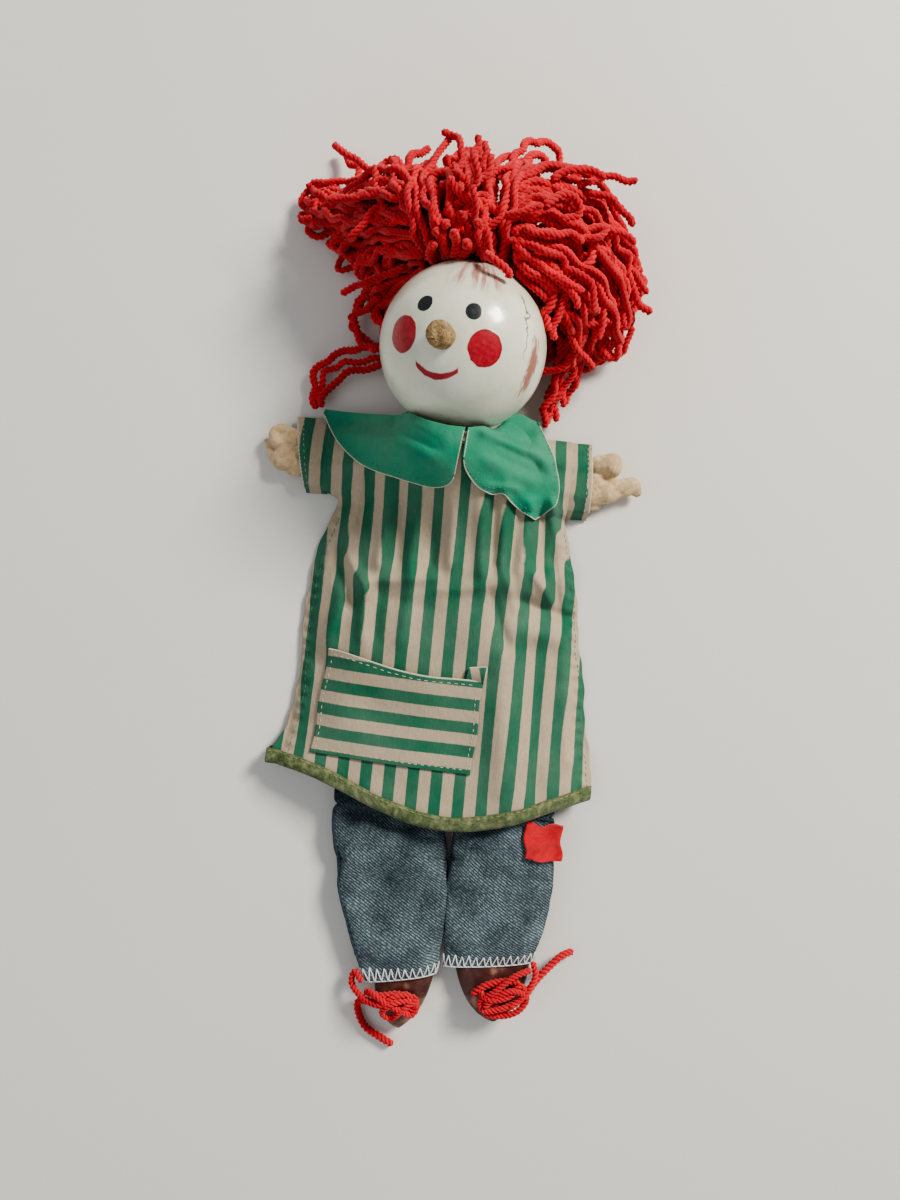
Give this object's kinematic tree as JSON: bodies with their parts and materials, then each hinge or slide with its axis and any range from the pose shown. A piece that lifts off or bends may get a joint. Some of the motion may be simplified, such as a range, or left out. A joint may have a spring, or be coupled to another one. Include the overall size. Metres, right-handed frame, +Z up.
{
  "type": "glove puppet",
  "caption": "Child-sized glove puppet with a painted wooden ball head, yarn wig, striped smock, felt hands, denim legs and leather shoes.",
  "frame": {"origin": "flat underside of the smock's back panel, behind the chest, on the surface the puppet lies on", "axes": "+Z up out of that surface, where the face looks; +Y along the body towards the head; +X to the puppet's left"},
  "size_m": [0.1383, 0.3196, 0.0664],
  "materials": {
    "enamel": "glossy white enamel on turned wood",
    "raw_wood": "unpainted turned wood, rough",
    "yarn": "twisted red yarn",
    "stripe": "cotton poplin with woven green and beige stripes",
    "collar": "plain green cotton",
    "binding": "coarse olive cotton tape",
    "felt": "beige wool felt",
    "denim": "washed blue denim twill",
    "stuffing": "loose white filling",
    "patch": "red felt",
    "leather": "worn dark brown leather",
    "string": "cotton string"
  },
  "bodies": {
    "smock": {"dress_front": "stripe", "dress_back": "stripe", "collar_right": "collar", "collar_left": "collar", "pocket": "stripe", "hem_binding_front": "binding", "hem_binding_back": "binding"},
    "neckline": {"neckline_band": "stripe", "neck_cord": "string"},
    "head": {"head_ball": "enamel", "neck_tube": "raw_wood", "nose_peg": "raw_wood", "hair_top": "yarn", "hair_right": "yarn", "hair_left": "yarn", "hair_back": "yarn", "hair_tuft": "yarn", "side_lock_right": "yarn", "side_lock_left": "yarn"},
    "arm_right": {"sleeve_right_front": "stripe", "sleeve_right_back": "stripe"},
    "arm_left": {"sleeve_left_front": "stripe", "sleeve_left_back": "stripe"},
    "hand_right": {"hand_right_front": "felt", "hand_right_back": "felt"},
    "hand_left": {"hand_left_front": "felt", "hand_left_back": "felt"},
    "leg_right": {"trouser_right": "denim", "leg_stuffing_right": "stuffing"},
    "leg_left": {"trouser_left": "denim", "leg_stuffing_left": "stuffing", "patch": "patch"},
    "shoe_right": {"shoe_right_upper": "leather", "shoe_right_sole": "leather", "lace_right": "yarn"},
    "shoe_left": {"shoe_left_upper": "leather", "shoe_left_sole": "leather", "lace_left": "yarn"}
  },
  "joints": [
    {"name": "head_nod", "type": "hinge", "parent": "smock", "child": "neckline", "pos_m": [-0.00493, 0.05458, 0.02679], "axis": [1, 0, 0], "range_deg": [-8, 24]},
    {"name": "head_turn", "type": "hinge", "parent": "neckline", "child": "head", "pos_m": [-0.0022, 0.084, 0.032], "axis": [0.091, 0.9806, 0.1736], "range_deg": [-30, 55]},
    {"name": "arm_right_forward", "type": "hinge", "parent": "smock", "child": "arm_right", "pos_m": [-0.048, 0.0475, 0.0099], "axis": [0, 1, 0], "range_deg": [0, 80]},
    {"name": "arm_left_forward", "type": "hinge", "parent": "smock", "child": "arm_left", "pos_m": [0.04, 0.0475, 0.0099], "axis": [0, -1, 0], "range_deg": [0, 80]},
    {"name": "hand_right_flex", "type": "hinge", "parent": "arm_right", "child": "hand_right", "pos_m": [-0.057, 0.0485, 0.0099], "axis": [-0.1903, 0.9817, 0], "range_deg": [0, 60]},
    {"name": "hand_left_flex", "type": "hinge", "parent": "arm_left", "child": "hand_left", "pos_m": [0.048, 0.0475, 0.0099], "axis": [0, -1, 0], "range_deg": [0, 60]},
    {"name": "leg_right_swing", "type": "hinge", "parent": "smock", "child": "leg_right", "pos_m": [-0.0125, -0.0812, 0.009], "axis": [-1, 0, 0], "range_deg": [0, 90]},
    {"name": "leg_left_swing", "type": "hinge", "parent": "smock", "child": "leg_left", "pos_m": [0.029, -0.0812, 0.009], "axis": [-1, 0, 0], "range_deg": [0, 90]},
    {"name": "shoe_right_flex", "type": "hinge", "parent": "leg_right", "child": "shoe_right", "pos_m": [-0.0028, -0.1334, 0.0096], "axis": [-0.972, -0.2352, 0], "range_deg": [0, 55]},
    {"name": "shoe_left_flex", "type": "hinge", "parent": "leg_left", "child": "shoe_left", "pos_m": [0.0282, -0.1234, 0.0096], "axis": [-0.9862, -0.1658, 0], "range_deg": [0, 55]}
  ]
}
